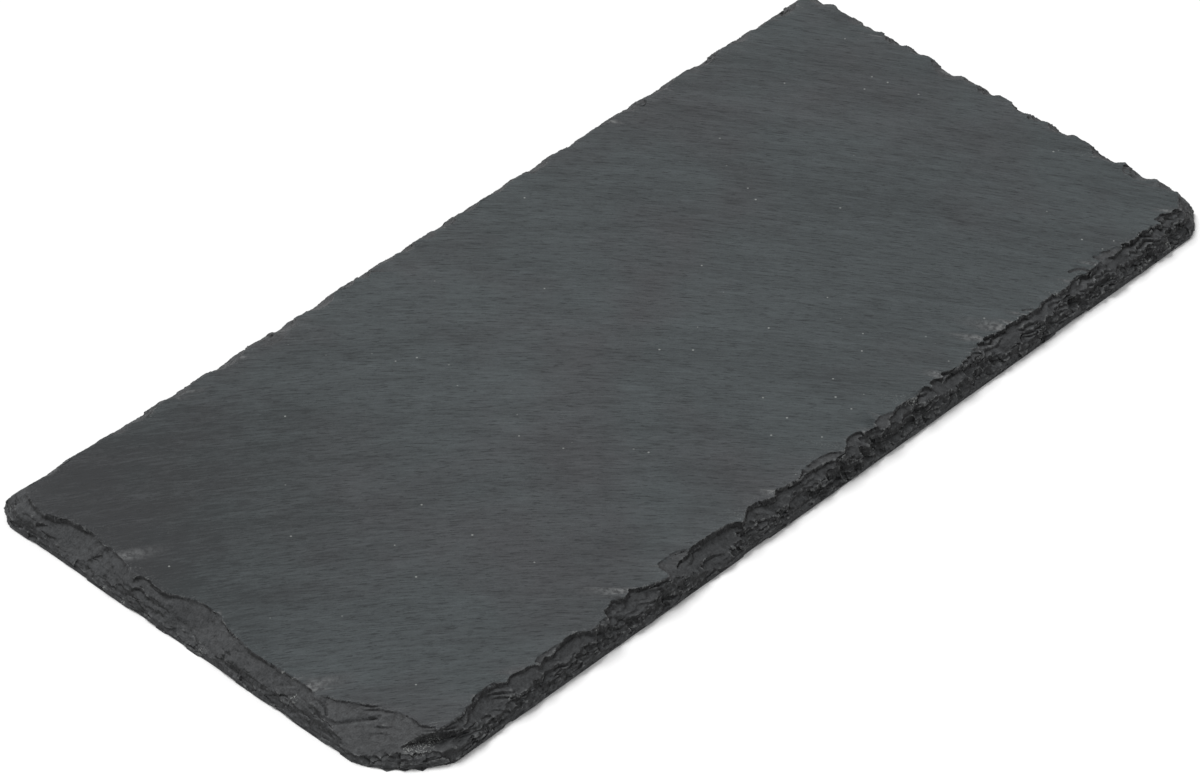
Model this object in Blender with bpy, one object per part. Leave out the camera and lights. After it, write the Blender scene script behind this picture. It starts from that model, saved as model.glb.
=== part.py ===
"""A slate slab: one piece of split slate with hand-dressed edges, made to carry food or a pot.

The broad faces are cleavage planes, so they are flat. The edges were struck off along a straight
line from the face that now lies below, so each side leans in towards the top face and is covered
by shell-shaped scars. Their floors follow the cleavage and their inner ends are steep little steps.

The slab lies on its flat face at z = 0. Its long side runs along X, and the middle of its box is
over the origin. Lengths are in metres; the lists of scars are in millimetres.
"""

import math
import random

import bmesh
import bpy
from mathutils import Matrix, Vector

MM = 0.001

# Dry slate, dark grey with a faint green cast
SLATE_COLOUR = (0.075, 0.082, 0.085, 1.0)
SLATE_ROUGHNESS = 0.72

# Driving dimensions
LENGTH = 301.0 * MM
WIDTH = 145.5 * MM
THICKNESS = 7.5 * MM
HALF_LENGTH = LENGTH / 2
HALF_WIDTH = WIDTH / 2

# How far the top face stands back from the lower outline, before any scar, on each side
RIM_LEFT = 4.6 * MM
RIM_RIGHT = 3.6 * MM
RIM_FRONT = 3.5 * MM
RIM_BACK = 5.2 * MM

# The side's profile: height as a share of the thickness, and the share of the rim's setback
PROFILE = ((0.0, 0.0), (0.26, 0.12), (0.58, 0.42), (1.0, 1.0))

# The lower outline's corners, in millimetres from the middle, anticlockwise from the front left
FRONT_LEFT_CORNER = ((-150.5, -54.5), (-149.4, -58.0), (-147.2, -61.6), (-144.7, -64.9),
                     (-141.5, -67.7), (-138.2, -70.2), (-133.6, -72.75))
FRONT_RIGHT_CORNER = ((140.6, -72.75), (144.5, -71.2), (147.5, -68.4), (150.0, -66.4),
                      (150.5, -63.4))
BACK_RIGHT_CORNER = ((150.5, 69.6), (150.0, 71.4), (148.2, 72.75))
BACK_LEFT_CORNER = ((-146.6, 72.75), (-147.8, 71.0), (-148.4, 69.5), (-149.6, 68.2),
                    (-150.5, 66.0))

# The struck line wanders by this much between points this far apart. The setback is drawn from a
# range of shares of it, and a draw below zero leaves its point on the line.
WANDER = 0.45 * MM
WANDER_SHARES = (-0.5, 1.0)
WANDER_STEP = 6.0 * MM

# Scars: place along the side, length, reach in from the lower outline, depth of the floor's inner
# end under the top face, and which way the deepest reach lies (-1 to 1, towards larger coordinates)
FRONT_UPPER_SCARS = (
    (-119.5, 27.0, 7.8, 1.1, 0.5), (-105.0, 8.0, 5.8, 0.5, 0.0), (-93.0, 20.0, 6.0, 1.0, 0.2),
    (-94.0, 15.0, 6.7, 0.3, 0.0), (-70.5, 19.0, 5.0, 1.3, -0.2), (-68.5, 14.0, 6.2, 0.5, -0.2),
    (-51.5, 12.0, 8.0, 0.4, -0.5), (-50.0, 11.0, 6.4, 0.9, 0.2), (-39.5, 19.0, 6.3, 1.1, -0.2),
    (-24.5, 11.0, 6.6, 1.0, 0.2), (-8.5, 18.0, 5.7, 1.1, -0.2), (-1.0, 12.0, 6.8, 0.4, 0.2),
    (12.0, 7.0, 6.2, 0.4, 0.0), (16.5, 13.0, 5.0, 1.2, -0.2), (27.5, 12.0, 6.3, 0.7, 0.3),
    (33.5, 7.0, 6.0, 1.1, 0.0), (38.0, 9.0, 5.9, 0.5, 0.0), (45.0, 9.0, 6.3, 0.9, -0.4),
    (52.5, 8.0, 6.1, 0.7, 0.2), (58.5, 9.0, 5.0, 1.4, 0.0), (58.8, 8.0, 6.5, 0.4, 0.3),
    (69.5, 20.0, 7.2, 0.9, -0.5), (81.5, 9.0, 6.1, 0.8, 0.2), (86.8, 7.0, 6.6, 0.4, 0.0),
    (93.5, 10.0, 6.0, 1.3, 0.0), (99.5, 9.0, 6.7, 0.7, 0.2), (104.0, 12.0, 5.1, 1.4, 0.4),
    (113.0, 10.0, 8.6, 0.4, -0.5), (114.5, 11.0, 6.1, 1.0, 0.0), (121.0, 7.0, 6.5, 0.8, 0.0),
    (127.0, 13.0, 5.7, 1.2, 0.0), (138.0, 12.0, 6.2, 0.8, -0.3))
FRONT_LOWER_SCARS = (
    (-124.5, 14.0, 3.3, 4.5, 0.2), (-113.5, 10.0, 3.7, 4.1, 0.0), (-115.5, 13.0, 1.8, 5.8, 0.0),
    (-97.5, 12.0, 2.7, 4.6, 0.0), (-85.5, 10.0, 3.5, 4.1, 0.2), (-77.5, 13.0, 4.0, 3.5, 0.0),
    (-79.5, 9.0, 2.1, 5.5, 0.0), (-66.5, 13.0, 3.4, 4.2, 0.3), (-58.5, 9.0, 4.3, 3.3, 0.2),
    (-49.5, 10.0, 3.6, 4.0, 0.0), (-42.0, 9.0, 4.6, 3.1, 0.0), (-34.5, 8.0, 3.2, 4.6, -0.2),
    (-21.5, 13.0, 2.3, 5.4, 0.0), (-9.5, 11.0, 4.2, 4.3, 0.0), (2.5, 10.0, 4.5, 4.3, 0.0),
    (13.5, 10.0, 3.2, 4.5, 0.0), (23.5, 11.0, 4.1, 3.7, 0.3), (36.0, 11.0, 3.7, 4.3, -0.2),
    (37.5, 12.0, 2.1, 5.7, 0.3), (48.0, 9.0, 2.9, 5.0, 0.2), (53.5, 8.0, 3.5, 4.1, 0.0),
    (63.5, 11.0, 3.1, 4.8, 0.0), (79.5, 18.0, 3.9, 3.9, 0.4), (74.5, 15.0, 2.3, 5.3, 0.2),
    (95.5, 8.0, 3.8, 3.8, 0.0), (105.5, 8.0, 4.0, 3.6, -0.2), (107.5, 7.0, 2.6, 4.9, 0.0),
    (117.5, 10.0, 2.7, 4.9, 0.0), (126.5, 7.0, 4.0, 3.7, 0.2), (134.5, 10.0, 3.7, 3.8, 0.0),
    (132.0, 7.0, 2.1, 5.7, 0.0))
LEFT_UPPER_SCARS = (
    (58.5, 9.0, 5.0, 1.5, 0.0), (49.5, 17.0, 7.0, 1.2, -0.4), (34.5, 17.0, 6.1, 0.5, 0.1),
    (20.5, 10.0, 5.8, 1.2, -0.3), (4.0, 18.0, 8.6, 0.6, 0.0), (-8.5, 9.0, 6.5, 0.5, 0.0),
    (-24.5, 25.0, 6.0, 0.7, 0.0))
LEFT_LOWER_SCARS = (
    (61.5, 8.0, 3.2, 3.4, 0.0), (54.0, 9.0, 3.8, 3.4, 0.0), (47.5, 7.0, 4.2, 3.4, 0.0),
    (42.0, 10.0, 2.7, 4.6, 0.0), (32.5, 8.0, 3.8, 3.3, 0.0), (23.5, 8.0, 2.0, 5.2, 0.0),
    (13.5, 13.0, 4.4, 2.8, 0.1), (9.5, 9.0, 1.9, 5.3, 0.0), (-3.5, 10.0, 2.3, 5.0, 0.0),
    (-15.0, 8.0, 2.7, 4.5, 0.0), (-26.5, 9.0, 2.0, 5.4, 0.0), (-35.0, 8.0, 3.4, 4.0, 0.0),
    (-43.5, 10.0, 2.3, 5.0, 0.0))
BACK_UPPER_SCARS = (
    (-134.5, 11.0, 6.6, 1.4, 0.0), (-121.0, 9.0, 4.9, 1.8, 0.0), (-104.5, 14.0, 6.8, 1.5, 0.0),
    (-92.5, 12.0, 6.9, 1.1, 0.2), (-75.5, 13.0, 7.2, 1.8, 0.1), (-61.0, 8.0, 5.9, 2.0, 0.0),
    (-55.0, 11.0, 8.0, 1.2, 0.2), (-42.5, 12.0, 7.4, 1.6, 0.1), (-32.0, 9.0, 6.0, 2.1, 0.0),
    (-26.5, 7.0, 7.7, 1.0, 0.0), (-17.0, 9.0, 5.9, 1.7, 0.0), (-11.0, 8.0, 7.3, 1.1, 0.3),
    (3.5, 12.0, 6.4, 1.6, 0.0), (13.0, 10.0, 6.5, 2.0, 0.0), (23.5, 9.0, 6.3, 1.2, 0.0),
    (38.0, 9.0, 7.0, 1.5, 0.1), (50.0, 14.0, 5.7, 2.2, 0.0), (64.0, 12.0, 5.8, 1.7, 0.0),
    (74.0, 9.0, 7.1, 1.3, 0.0), (86.0, 12.0, 6.5, 1.9, 0.0), (103.0, 14.0, 7.3, 1.4, 0.0),
    (118.0, 9.0, 7.3, 1.2, 0.0), (126.0, 8.0, 6.2, 2.0, 0.0), (135.5, 13.0, 7.5, 1.6, 0.0))
RIGHT_UPPER_SCARS = (
    (64.5, 9.0, 6.6, 1.3, 0.0), (55.0, 10.0, 4.3, 2.0, 0.0), (36.0, 9.0, 6.1, 1.6, 0.0),
    (28.5, 7.0, 6.0, 1.2, 0.0), (17.0, 10.0, 6.2, 1.8, 0.0), (9.0, 8.0, 6.1, 1.1, 0.0),
    (2.5, 7.0, 6.9, 1.5, 0.0), (-9.5, 7.0, 6.0, 1.9, 0.0), (-14.5, 7.0, 7.2, 1.1, 0.0),
    (-22.5, 9.0, 6.2, 1.6, 0.0), (-38.5, 12.0, 7.0, 1.3, 0.0), (-50.0, 9.0, 6.2, 1.9, 0.0),
    (-59.5, 8.0, 5.4, 1.4, 0.0))

# Corner scars: place, the bearing of their inward direction in degrees, length, reach, depth,
# and how much the floor drops outwards, as a share of the way
CORNER_SCARS = (
    ((-148.9, -50.6), 28.0, 23.0, 9.4, 1.1, 0.30), ((-147.3, -62.9), 13.0, 21.0, 12.4, 0.3, 0.36),
    ((-140.1, -69.4), 67.0, 19.0, 4.6, 5.0, 0.24), ((-145.6, -64.6), 42.0, 14.0, 3.4, 5.1, 0.24),
    ((-131.0, -73.2), 84.0, 9.0, 4.4, 3.0, 0.24), ((-150.9, 67.2), -22.0, 9.0, 4.8, 2.9, 0.30),
    ((-147.6, 71.6), -60.0, 9.0, 5.6, 1.3, 0.50), ((150.6, 70.4), -140.0, 12.0, 8.2, 1.2, 0.60),
    ((150.9, 71.6), -125.0, 8.0, 4.6, 3.2, 0.40), ((148.9, -69.6), 135.0, 12.0, 7.4, 1.0, 0.30),
    ((146.6, -71.6), 116.0, 9.0, 3.9, 3.6, 0.24))

# Lower scars of the two sides that follow no list: spacing along the side, and ranges to draw
# from. A scar that reaches further in is shallower, so its reach and depth add up to one length.
DRAWN_SPACING = 9.0
DRAWN_SPREAD = 0.3
DRAWN_LENGTH = (7.0, 14.0)
DRAWN_REACH = (2.2, 4.2)
DRAWN_REACH_AND_DEPTH = 7.6
DRAWN_LEAN = 0.3

# The form of every scar. Floors drop outwards by this share of the way: they follow the cleavage
# roughly in front, and were struck off at a steeper slant on the two sides behind.
FLOOR_FALL = {"front": 0.40, "left": 0.42, "back": 0.80, "right": 0.66}
FLOOR_ROLL = 0.08             # the most a floor tilts along the edge, as a share of the way
OVERLAP = 1.65                # how much longer a scar is than what its neighbours leave of it
WALL_LEAN = 0.30              # how far a step leans back, as a share of its height
ARCH_FLATNESS = 2.3           # how straight the inner line runs before it turns outwards
ARCH_ROUNDNESS = 1.05         # above 1 the scar's two ends are pointed
LEAN_SHIFT = 0.22             # how far a full lean moves the deepest reach, per length
DISH = 0.12 * MM              # how far a floor's middle lies below its rim
DISH_PLACE = (0.12, 0.35)     # where that middle is: per length and lean, and per reach
RIM_JITTER = 0.42 * MM
JITTER_AT_ENDS = 0.3
POINT_SPACING = 2.2 * MM      # along a scar's inner line
FEWEST_STEPS = 5
CUTTER_MARGIN = 2.5 * MM      # what a cutter reaches past the slab, outwards and upwards
SEED = 11


def clear_scene():
    for obj in list(bpy.data.objects):
        bpy.data.objects.remove(obj)


def slate_material():
    material = bpy.data.materials.new("slate")
    material.use_nodes = True
    shader = material.node_tree.nodes["Principled BSDF"]
    shader.inputs["Base Color"].default_value = SLATE_COLOUR
    shader.inputs["Roughness"].default_value = SLATE_ROUGHNESS
    shader.inputs["Metallic"].default_value = 0.0
    return material


def struck_side(start, end, rng):
    """Points between two corners, each standing back from the straight line by a little."""
    run = end - start
    inward = Vector((-run.y, run.x)).normalized()
    count = max(1, round(run.length / WANDER_STEP))
    points = []
    for step in range(1, count):
        setback = max(0.0, rng.uniform(*WANDER_SHARES)) * WANDER
        points.append(start + run * (step / count) + inward * setback)
    return points


def lower_outline(rng):
    """The outline at z = 0: four corners as drawn, joined by struck sides."""
    corners = (FRONT_LEFT_CORNER, FRONT_RIGHT_CORNER, BACK_RIGHT_CORNER, BACK_LEFT_CORNER)
    drawn = [[Vector(point) * MM for point in corner] for corner in corners]
    outline = []
    for index, corner in enumerate(drawn):
        following = drawn[(index + 1) % len(drawn)]
        outline += corner
        outline += struck_side(corner[-1], following[0], rng)
    return outline


def set_back(point, share):
    """A point of the outline, moved towards the middle by a share of its side's rim setback."""
    rim_x = RIM_LEFT if point.x < 0 else RIM_RIGHT
    rim_y = RIM_FRONT if point.y < 0 else RIM_BACK
    return Vector((point.x * (1 - share * rim_x / HALF_LENGTH),
                   point.y * (1 - share * rim_y / HALF_WIDTH)))


def join_rings(bm, rings):
    """Skin the rings of one closed body, from the lowest to the highest, and cap both ends."""
    for lower, upper in zip(rings, rings[1:]):
        for index, corner in enumerate(lower):
            following = (index + 1) % len(lower)
            bm.faces.new((corner, lower[following], upper[following], upper[index]))
    bm.faces.new(list(reversed(rings[0])))
    bm.faces.new(rings[-1])


def new_object(name, bm):
    mesh = bpy.data.meshes.new(name)
    bmesh.ops.recalc_face_normals(bm, faces=bm.faces[:])
    bm.to_mesh(mesh)
    bm.free()
    return bpy.data.objects.new(name, mesh)


def split_blank(outline):
    """The slab before any scar: a flat blank whose sides lean in along the profile."""
    bm = bmesh.new()
    rings = []
    for height, share in PROFILE:
        ring = [bm.verts.new((*set_back(point, share), height * THICKNESS)) for point in outline]
        rings.append(ring)
    join_rings(bm, rings)
    return new_object("slate_slab", bm)


def inner_line(length, reach, lean, rng):
    """A scar's inner end from above: an uneven arch, highest towards the side that lean gives."""
    count = max(FEWEST_STEPS, round(length / POINT_SPACING))
    points = []
    for step in range(count + 1):
        across = 2 * step / count - 1
        arch = (1 - abs(across) ** ARCH_FLATNESS) ** ARCH_ROUNDNESS
        shift = lean * LEAN_SHIFT * length * (1 - across * across)
        jitter = rng.uniform(-RIM_JITTER, RIM_JITTER) * (JITTER_AT_ENDS + arch)
        points.append(Vector((across * length / 2 + shift, reach * arch + jitter)))
    return points


def scar_cutter(name, place, bearing, size, fall, rng):
    """A closed body whose underside is the scar: a dished floor inside a steep, leaning step."""
    length, reach, depth, lean = size
    line = inner_line(length, reach, lean, rng)
    roll = rng.uniform(-FLOOR_ROLL, FLOOR_ROLL)
    outer = -CUTTER_MARGIN
    floor_run = depth * WALL_LEAN
    over_run = CUTTER_MARGIN * WALL_LEAN
    squeeze = 1 - 2 * floor_run / length
    spread = 1 + 2 * over_run / length
    floor_level = THICKNESS - depth

    def floor_height(u, v):
        return floor_level - (reach - v) * fall + u * roll

    floor = [Vector((p.x * squeeze, p.y - floor_run)) for p in line]
    lid = [Vector((p.x * spread, p.y + over_run)) for p in line]
    floor += [Vector((length / 2 * squeeze, outer)), Vector((-length / 2 * squeeze, outer))]
    lid += [Vector((length / 2 * spread, outer)), Vector((-length / 2 * spread, outer))]

    bm = bmesh.new()
    low = [bm.verts.new((p.x, p.y, floor_height(p.x, p.y))) for p in floor]
    high = [bm.verts.new((p.x, p.y, THICKNESS + CUTTER_MARGIN)) for p in lid]
    middle = Vector((lean * DISH_PLACE[0] * length, reach * DISH_PLACE[1]))
    centre = bm.verts.new((middle.x, middle.y, floor_height(middle.x, middle.y) - DISH))
    for index, corner in enumerate(low):
        following = (index + 1) % len(low)
        bm.faces.new((corner, low[following], high[following], high[index]))
        bm.faces.new((corner, low[following], centre))
    bm.faces.new(high)
    turn = Matrix.Rotation(bearing - math.pi / 2, 4, "Z")
    bmesh.ops.transform(bm, matrix=Matrix.Translation((*place, 0.0)) @ turn, verts=bm.verts[:])
    cutter = new_object(name, bm)
    cutter.hide_render = True
    cutter.display_type = "WIRE"
    return cutter


def side_scar(side, row, name, rng):
    """A cutter on one of the four sides, from a row of the lists above."""
    along, length, reach, depth, lean = row
    place, bearing, mirror = {
        "front": ((along * MM, -HALF_WIDTH), math.radians(90), 1),
        "right": ((HALF_LENGTH, along * MM), math.radians(180), 1),
        "back": ((along * MM, HALF_WIDTH), math.radians(-90), -1),
        "left": ((-HALF_LENGTH, along * MM), 0.0, -1),
    }[side]
    size = (length * OVERLAP * MM, reach * MM, depth * MM, lean * mirror)
    return scar_cutter(name, place, bearing, size, FLOOR_FALL[side], rng)


def drawn_rows(half_side, rng):
    """Rows of lower scars along a side, where a shallow one reaches further in than a deep one."""
    rows = []
    along = -half_side / MM + DRAWN_SPACING
    while along < half_side / MM - DRAWN_SPACING:
        reach = rng.uniform(*DRAWN_REACH)
        depth = DRAWN_REACH_AND_DEPTH - reach
        lean = rng.uniform(-DRAWN_LEAN, DRAWN_LEAN)
        rows.append((along, rng.uniform(*DRAWN_LENGTH), reach, depth, lean))
        along += DRAWN_SPACING * (1 + rng.uniform(-DRAWN_SPREAD, DRAWN_SPREAD))
    return rows


def scar_cutters(rng):
    """Every scar of the four sides and the corners."""
    lists = (
        ("front", FRONT_UPPER_SCARS + FRONT_LOWER_SCARS),
        ("left", LEFT_UPPER_SCARS + LEFT_LOWER_SCARS),
        ("back", BACK_UPPER_SCARS + tuple(drawn_rows(HALF_LENGTH, rng))),
        ("right", RIGHT_UPPER_SCARS + tuple(drawn_rows(HALF_WIDTH, rng))))
    cutters = []
    for side, rows in lists:
        for index, row in enumerate(rows):
            cutters.append(side_scar(side, row, f"scar_{side}_{index:02d}", rng))
    for index, (place, bearing, length, reach, depth, fall) in enumerate(CORNER_SCARS):
        size = (length * MM, reach * MM, depth * MM, 0.0)
        cutters.append(scar_cutter(f"scar_corner_{index:02d}", Vector(place) * MM,
                                   math.radians(bearing), size, fall, rng))
    return cutters


def build():
    clear_scene()
    rng = random.Random(SEED)
    slab = split_blank(lower_outline(rng))
    slab.data.materials.append(slate_material())
    bpy.context.scene.collection.objects.link(slab)

    tools = bpy.data.collections.new("scars")
    bpy.context.scene.collection.children.link(tools)
    for cutter in scar_cutters(rng):
        tools.objects.link(cutter)

    struck = slab.modifiers.new("struck edges", "BOOLEAN")
    struck.operation = "DIFFERENCE"
    struck.solver = "EXACT"
    struck.operand_type = "COLLECTION"
    struck.collection = tools


build()
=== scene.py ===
"""The looks of a split slate slab with hand-dressed edges, lying on a pale table.

The slab is one piece of stone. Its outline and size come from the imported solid; this script works
the scars, leaves and chips of its struck edges, the riven relief of its broad faces and its finish.
"""

import itertools
import math

import bpy
import numpy as np
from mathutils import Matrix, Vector
from mathutils.kdtree import KDTree


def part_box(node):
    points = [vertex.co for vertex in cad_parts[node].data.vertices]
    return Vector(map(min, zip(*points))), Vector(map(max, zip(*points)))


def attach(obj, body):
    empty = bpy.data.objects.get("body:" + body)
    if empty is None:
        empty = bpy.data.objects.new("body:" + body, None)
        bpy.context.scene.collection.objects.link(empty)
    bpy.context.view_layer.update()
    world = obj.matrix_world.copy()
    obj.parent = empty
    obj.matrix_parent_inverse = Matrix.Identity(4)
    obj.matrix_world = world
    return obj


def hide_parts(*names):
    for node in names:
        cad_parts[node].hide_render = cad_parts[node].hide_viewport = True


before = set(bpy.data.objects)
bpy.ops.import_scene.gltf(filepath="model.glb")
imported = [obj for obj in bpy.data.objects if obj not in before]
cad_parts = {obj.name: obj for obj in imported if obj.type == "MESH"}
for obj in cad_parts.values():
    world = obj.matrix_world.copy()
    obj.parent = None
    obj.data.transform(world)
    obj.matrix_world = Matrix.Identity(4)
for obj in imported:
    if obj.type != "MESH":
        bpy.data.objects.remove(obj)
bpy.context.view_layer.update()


# The view: a long lens to the left of the long side's front, looking down on the slab by 40
# degrees, as the photograph was taken. The numbers were solved from the slab's four corners.
VIEW_AZIMUTH = math.radians(-46.35)
VIEW_ELEVATION = math.radians(39.80)
VIEW_DISTANCE = 1.319
VIEW_TARGET = Vector((-0.01083, -0.00207, 0.0))
VIEW_LENS = 155.4

bpy.ops.object.select_all(action="DESELECT")
look_back = Vector((math.sin(VIEW_AZIMUTH) * math.cos(VIEW_ELEVATION),
                    -math.cos(VIEW_AZIMUTH) * math.cos(VIEW_ELEVATION),
                    math.sin(VIEW_ELEVATION)))
bpy.ops.object.camera_add(location=VIEW_TARGET + look_back * VIEW_DISTANCE,
                          rotation=look_back.to_track_quat("Z", "Y").to_euler())
camera = bpy.context.object
camera.name = "camera"
camera.data.lens = VIEW_LENS
camera.data.sensor_width = 36.0
bpy.context.scene.camera = camera


# The slab: one piece of fine-grained slate, split along its cleavage into a flat sheet and struck
# off along its four edges. The solid's underside is drawn up and in to a plain blank, the blank is
# meshed finely, and the scars of the dressing tool are taken off it one by one.
MM = 0.001
MESH_GRAIN = 0.4 * MM
SKIN = 0.12 * MM              # how near a plane a point lies to count as part of a broad face
WORKED_BAND = 10.6 * MM       # how far in from its box the slab is worked
WORKED_CORNER = (-130.0, -44.0)   # and at the clipped corner, in millimetres from the middle
TOP_NET = 1.8 * MM            # the coarser net of the broad faces
UNDERSIDE_NET = 3.0 * MM
UNDERSIDE_MARGIN = 2.0 * MM
CORNER_CUT = 13.0 * MM        # the underside's net stops this far short of the box's corners
TOUCHING = 0.001 * MM         # points as near as this are one

# Each lift of the blank: how far up in millimetres, and its share of the setback from each side
LIFTS = ((1.95, 0.12), (2.40, 0.30), (3.15, 0.58))
SETBACK_LEFT, SETBACK_RIGHT, SETBACK_FRONT, SETBACK_BACK = 4.6, 3.6, 3.5, 5.2

low_corner, high_corner = (np.array(corner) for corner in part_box("slate_slab"))
top_height = high_corner[2]

bpy.ops.object.select_all(action="DESELECT")
slab = bpy.data.objects.new("dressed_slate_slab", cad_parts["slate_slab"].data.copy())
bpy.context.scene.collection.objects.link(slab)
bpy.context.view_layer.objects.active = slab
slab.select_set(True)


def merge_points(distance):
    bpy.ops.object.mode_set(mode="EDIT")
    bpy.ops.mesh.select_all(action="SELECT")
    bpy.ops.mesh.remove_doubles(threshold=distance)
    bpy.ops.object.mode_set(mode="OBJECT")


def select(kind, wanted):
    """Go to edit mode with only the wanted points, edges or faces selected."""
    bpy.ops.object.mode_set(mode="EDIT")
    bpy.ops.mesh.select_mode(type=kind)
    bpy.ops.mesh.select_all(action="DESELECT")
    bpy.ops.object.mode_set(mode="OBJECT")
    mesh = slab.data
    elements = {"VERT": mesh.vertices, "EDGE": mesh.edges, "FACE": mesh.polygons}[kind]
    elements.foreach_set("select", wanted)
    bpy.ops.object.mode_set(mode="EDIT")


def read_points(what="co"):
    """One row of three numbers for each point: its coordinates, or its normal."""
    rows = np.empty(len(slab.data.vertices) * 3)
    slab.data.vertices.foreach_get(what, rows)
    return rows.reshape(-1, 3)


def read_ends():
    """The numbers of the two points that each edge joins."""
    ends = np.empty(len(slab.data.edges) * 2, dtype=np.int32)
    slab.data.edges.foreach_get("vertices", ends)
    return ends.reshape(-1, 2)


def write_points(points):
    slab.data.vertices.foreach_set("co", points.ravel())
    slab.data.update()


def within(points, margin):
    """Points of which both level coordinates lie inside the slab's box by a margin."""
    return np.all(np.abs(points[:, :2]) < high_corner[:2] - margin, axis=1)


def in_worked_part(points):
    """Points near the slab's sides or at its clipped corner, where the scars lie."""
    at_corner = (points[:, 0] < WORKED_CORNER[0] * MM) & (points[:, 1] < WORKED_CORNER[1] * MM)
    return ~within(points, WORKED_BAND) | at_corner


merge_points(TOUCHING)
select("FACE", [face.center.z > TOUCHING for face in slab.data.polygons])
bpy.ops.mesh.delete(type="FACE")
bpy.ops.mesh.select_all(action="SELECT")
full = 2 * high_corner[:2]
narrowing = np.array((SETBACK_LEFT + SETBACK_RIGHT, SETBACK_FRONT + SETBACK_BACK)) * MM
sideways = np.array((SETBACK_LEFT - SETBACK_RIGHT, SETBACK_FRONT - SETBACK_BACK)) * MM / 2
drawn_in = 0.0
for rise, share in LIFTS:
    step = (*(sideways * share), rise * MM)
    bpy.ops.mesh.extrude_region_move(TRANSFORM_OT_translate={"value": step})
    before = full - narrowing * drawn_in
    drawn_in += share
    after = full - narrowing * drawn_in
    bpy.ops.transform.resize(value=(*(after / before), 1.0),
                             center_override=(*(sideways * drawn_in), 0.0))
bpy.ops.mesh.select_all(action="SELECT")
bpy.ops.mesh.normals_make_consistent(inside=False)
bpy.ops.object.mode_set(mode="OBJECT")
finer = slab.modifiers.new("finer mesh", "REMESH")
finer.mode = "VOXEL"
finer.voxel_size = MESH_GRAIN
bpy.ops.object.modifier_apply(modifier=finer.name)

# Away from the edges the broad faces need only a coarse net, and the edges get one twice as fine.
points = read_points()
on_net = np.round(points / TOP_NET) * TOP_NET
whole = (points[:, 2] > top_height - SKIN) & ~in_worked_part(on_net)
points[whole, :2] = on_net[whole, :2]
on_net = np.round(points / UNDERSIDE_NET) * UNDERSIDE_NET
whole = (points[:, 2] < SKIN) & within(on_net, UNDERSIDE_MARGIN)
whole &= np.abs(on_net[:, :2]).sum(axis=1) < high_corner[:2].sum() - CORNER_CUT
points[whole, :2] = on_net[whole, :2]
write_points(points)
merge_points(0.01 * MM)

points = read_points()
select("VERT", in_worked_part(points) & (points[:, 2] > SKIN))
bpy.ops.mesh.subdivide(number_cuts=1)
bpy.ops.object.mode_set(mode="OBJECT")


def lattice(cells, seed):
    """A fixed random number from 0 to 1 for each whole-number cell."""
    x, y, z = (cells[:, axis].astype(np.int64) for axis in range(3))
    mixed = (x * 73856093) ^ (y * 19349663) ^ (z * 83492791) ^ (seed * 2654435761)
    mixed &= 0xFFFFFFFF
    mixed = (mixed ^ (mixed >> 13)) * 1274126177 & 0xFFFFFFFF
    mixed = (mixed ^ (mixed >> 16)) * 668265263 & 0xFFFFFFFF
    return (mixed ^ (mixed >> 15)) / 0xFFFFFFFF


def swell(points, sizes, seed):
    """Smooth random swells from -1 to 1, as wide as the sizes along the three axes."""
    scaled = points / np.asarray(sizes)
    cell = np.floor(scaled)
    part = scaled - cell
    part = part ** 3 * (part * (part * 6 - 15) + 10)
    total = np.zeros(len(points))
    for corner in itertools.product((0, 1), repeat=3):
        weight = np.prod(np.where(np.array(corner) == 1, part, 1 - part), axis=1)
        total += weight * lattice(cell + np.array(corner), seed)
    return total * 2 - 1


def facets(points, sizes, seed):
    """Small tilted facets from -1 to 1, each around a random middle and as wide as the sizes."""
    scaled = points / np.asarray(sizes)
    cell = np.floor(scaled)
    nearest = np.full(len(points), 9.0)
    height = np.zeros(len(points))
    for step in itertools.product((-1, 0, 1), repeat=3):
        there = cell + np.array(step)
        middle = there + np.stack([lattice(there, seed + axis) for axis in (1, 2, 3)], axis=1)
        away = scaled - middle
        gap = np.linalg.norm(away, axis=1)
        tilt = np.stack([lattice(there, seed + axis) for axis in (4, 5, 6)], axis=1) * 2 - 1
        plane = (lattice(there, seed + 7) * 2 - 1) * 0.6 + np.sum(tilt * away, axis=1) * 0.6
        closer = gap < nearest
        nearest[closer] = gap[closer]
        height[closer] = plane[closer]
    return height


def ramp(values, start, end):
    """0 before start, 1 after end, and smooth between them."""
    share = np.clip((values - start) / (end - start), 0, 1)
    return share * share * (3 - 2 * share)


# The stone's lineation fans by some 25 degrees from one end of the slab to the other. Where a
# scar's inner end crosses it, the stone splinters along it.
LINE_ANGLE = math.radians(-50)
LINE_FAN = -1.2               # radians to each metre along the slab


def along_lines(points):
    """Each point's place along the lineation and across it, and the lineation's direction."""
    angle = LINE_ANGLE + LINE_FAN * points[:, 0]
    along = points[:, 0] * np.cos(angle) + points[:, 1] * np.sin(angle)
    across = points[:, 1] * np.cos(angle) - points[:, 0] * np.sin(angle)
    places = np.stack((along, across, np.zeros(len(points))), axis=1)
    return places, np.stack((np.cos(angle), np.sin(angle)), axis=1)


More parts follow.
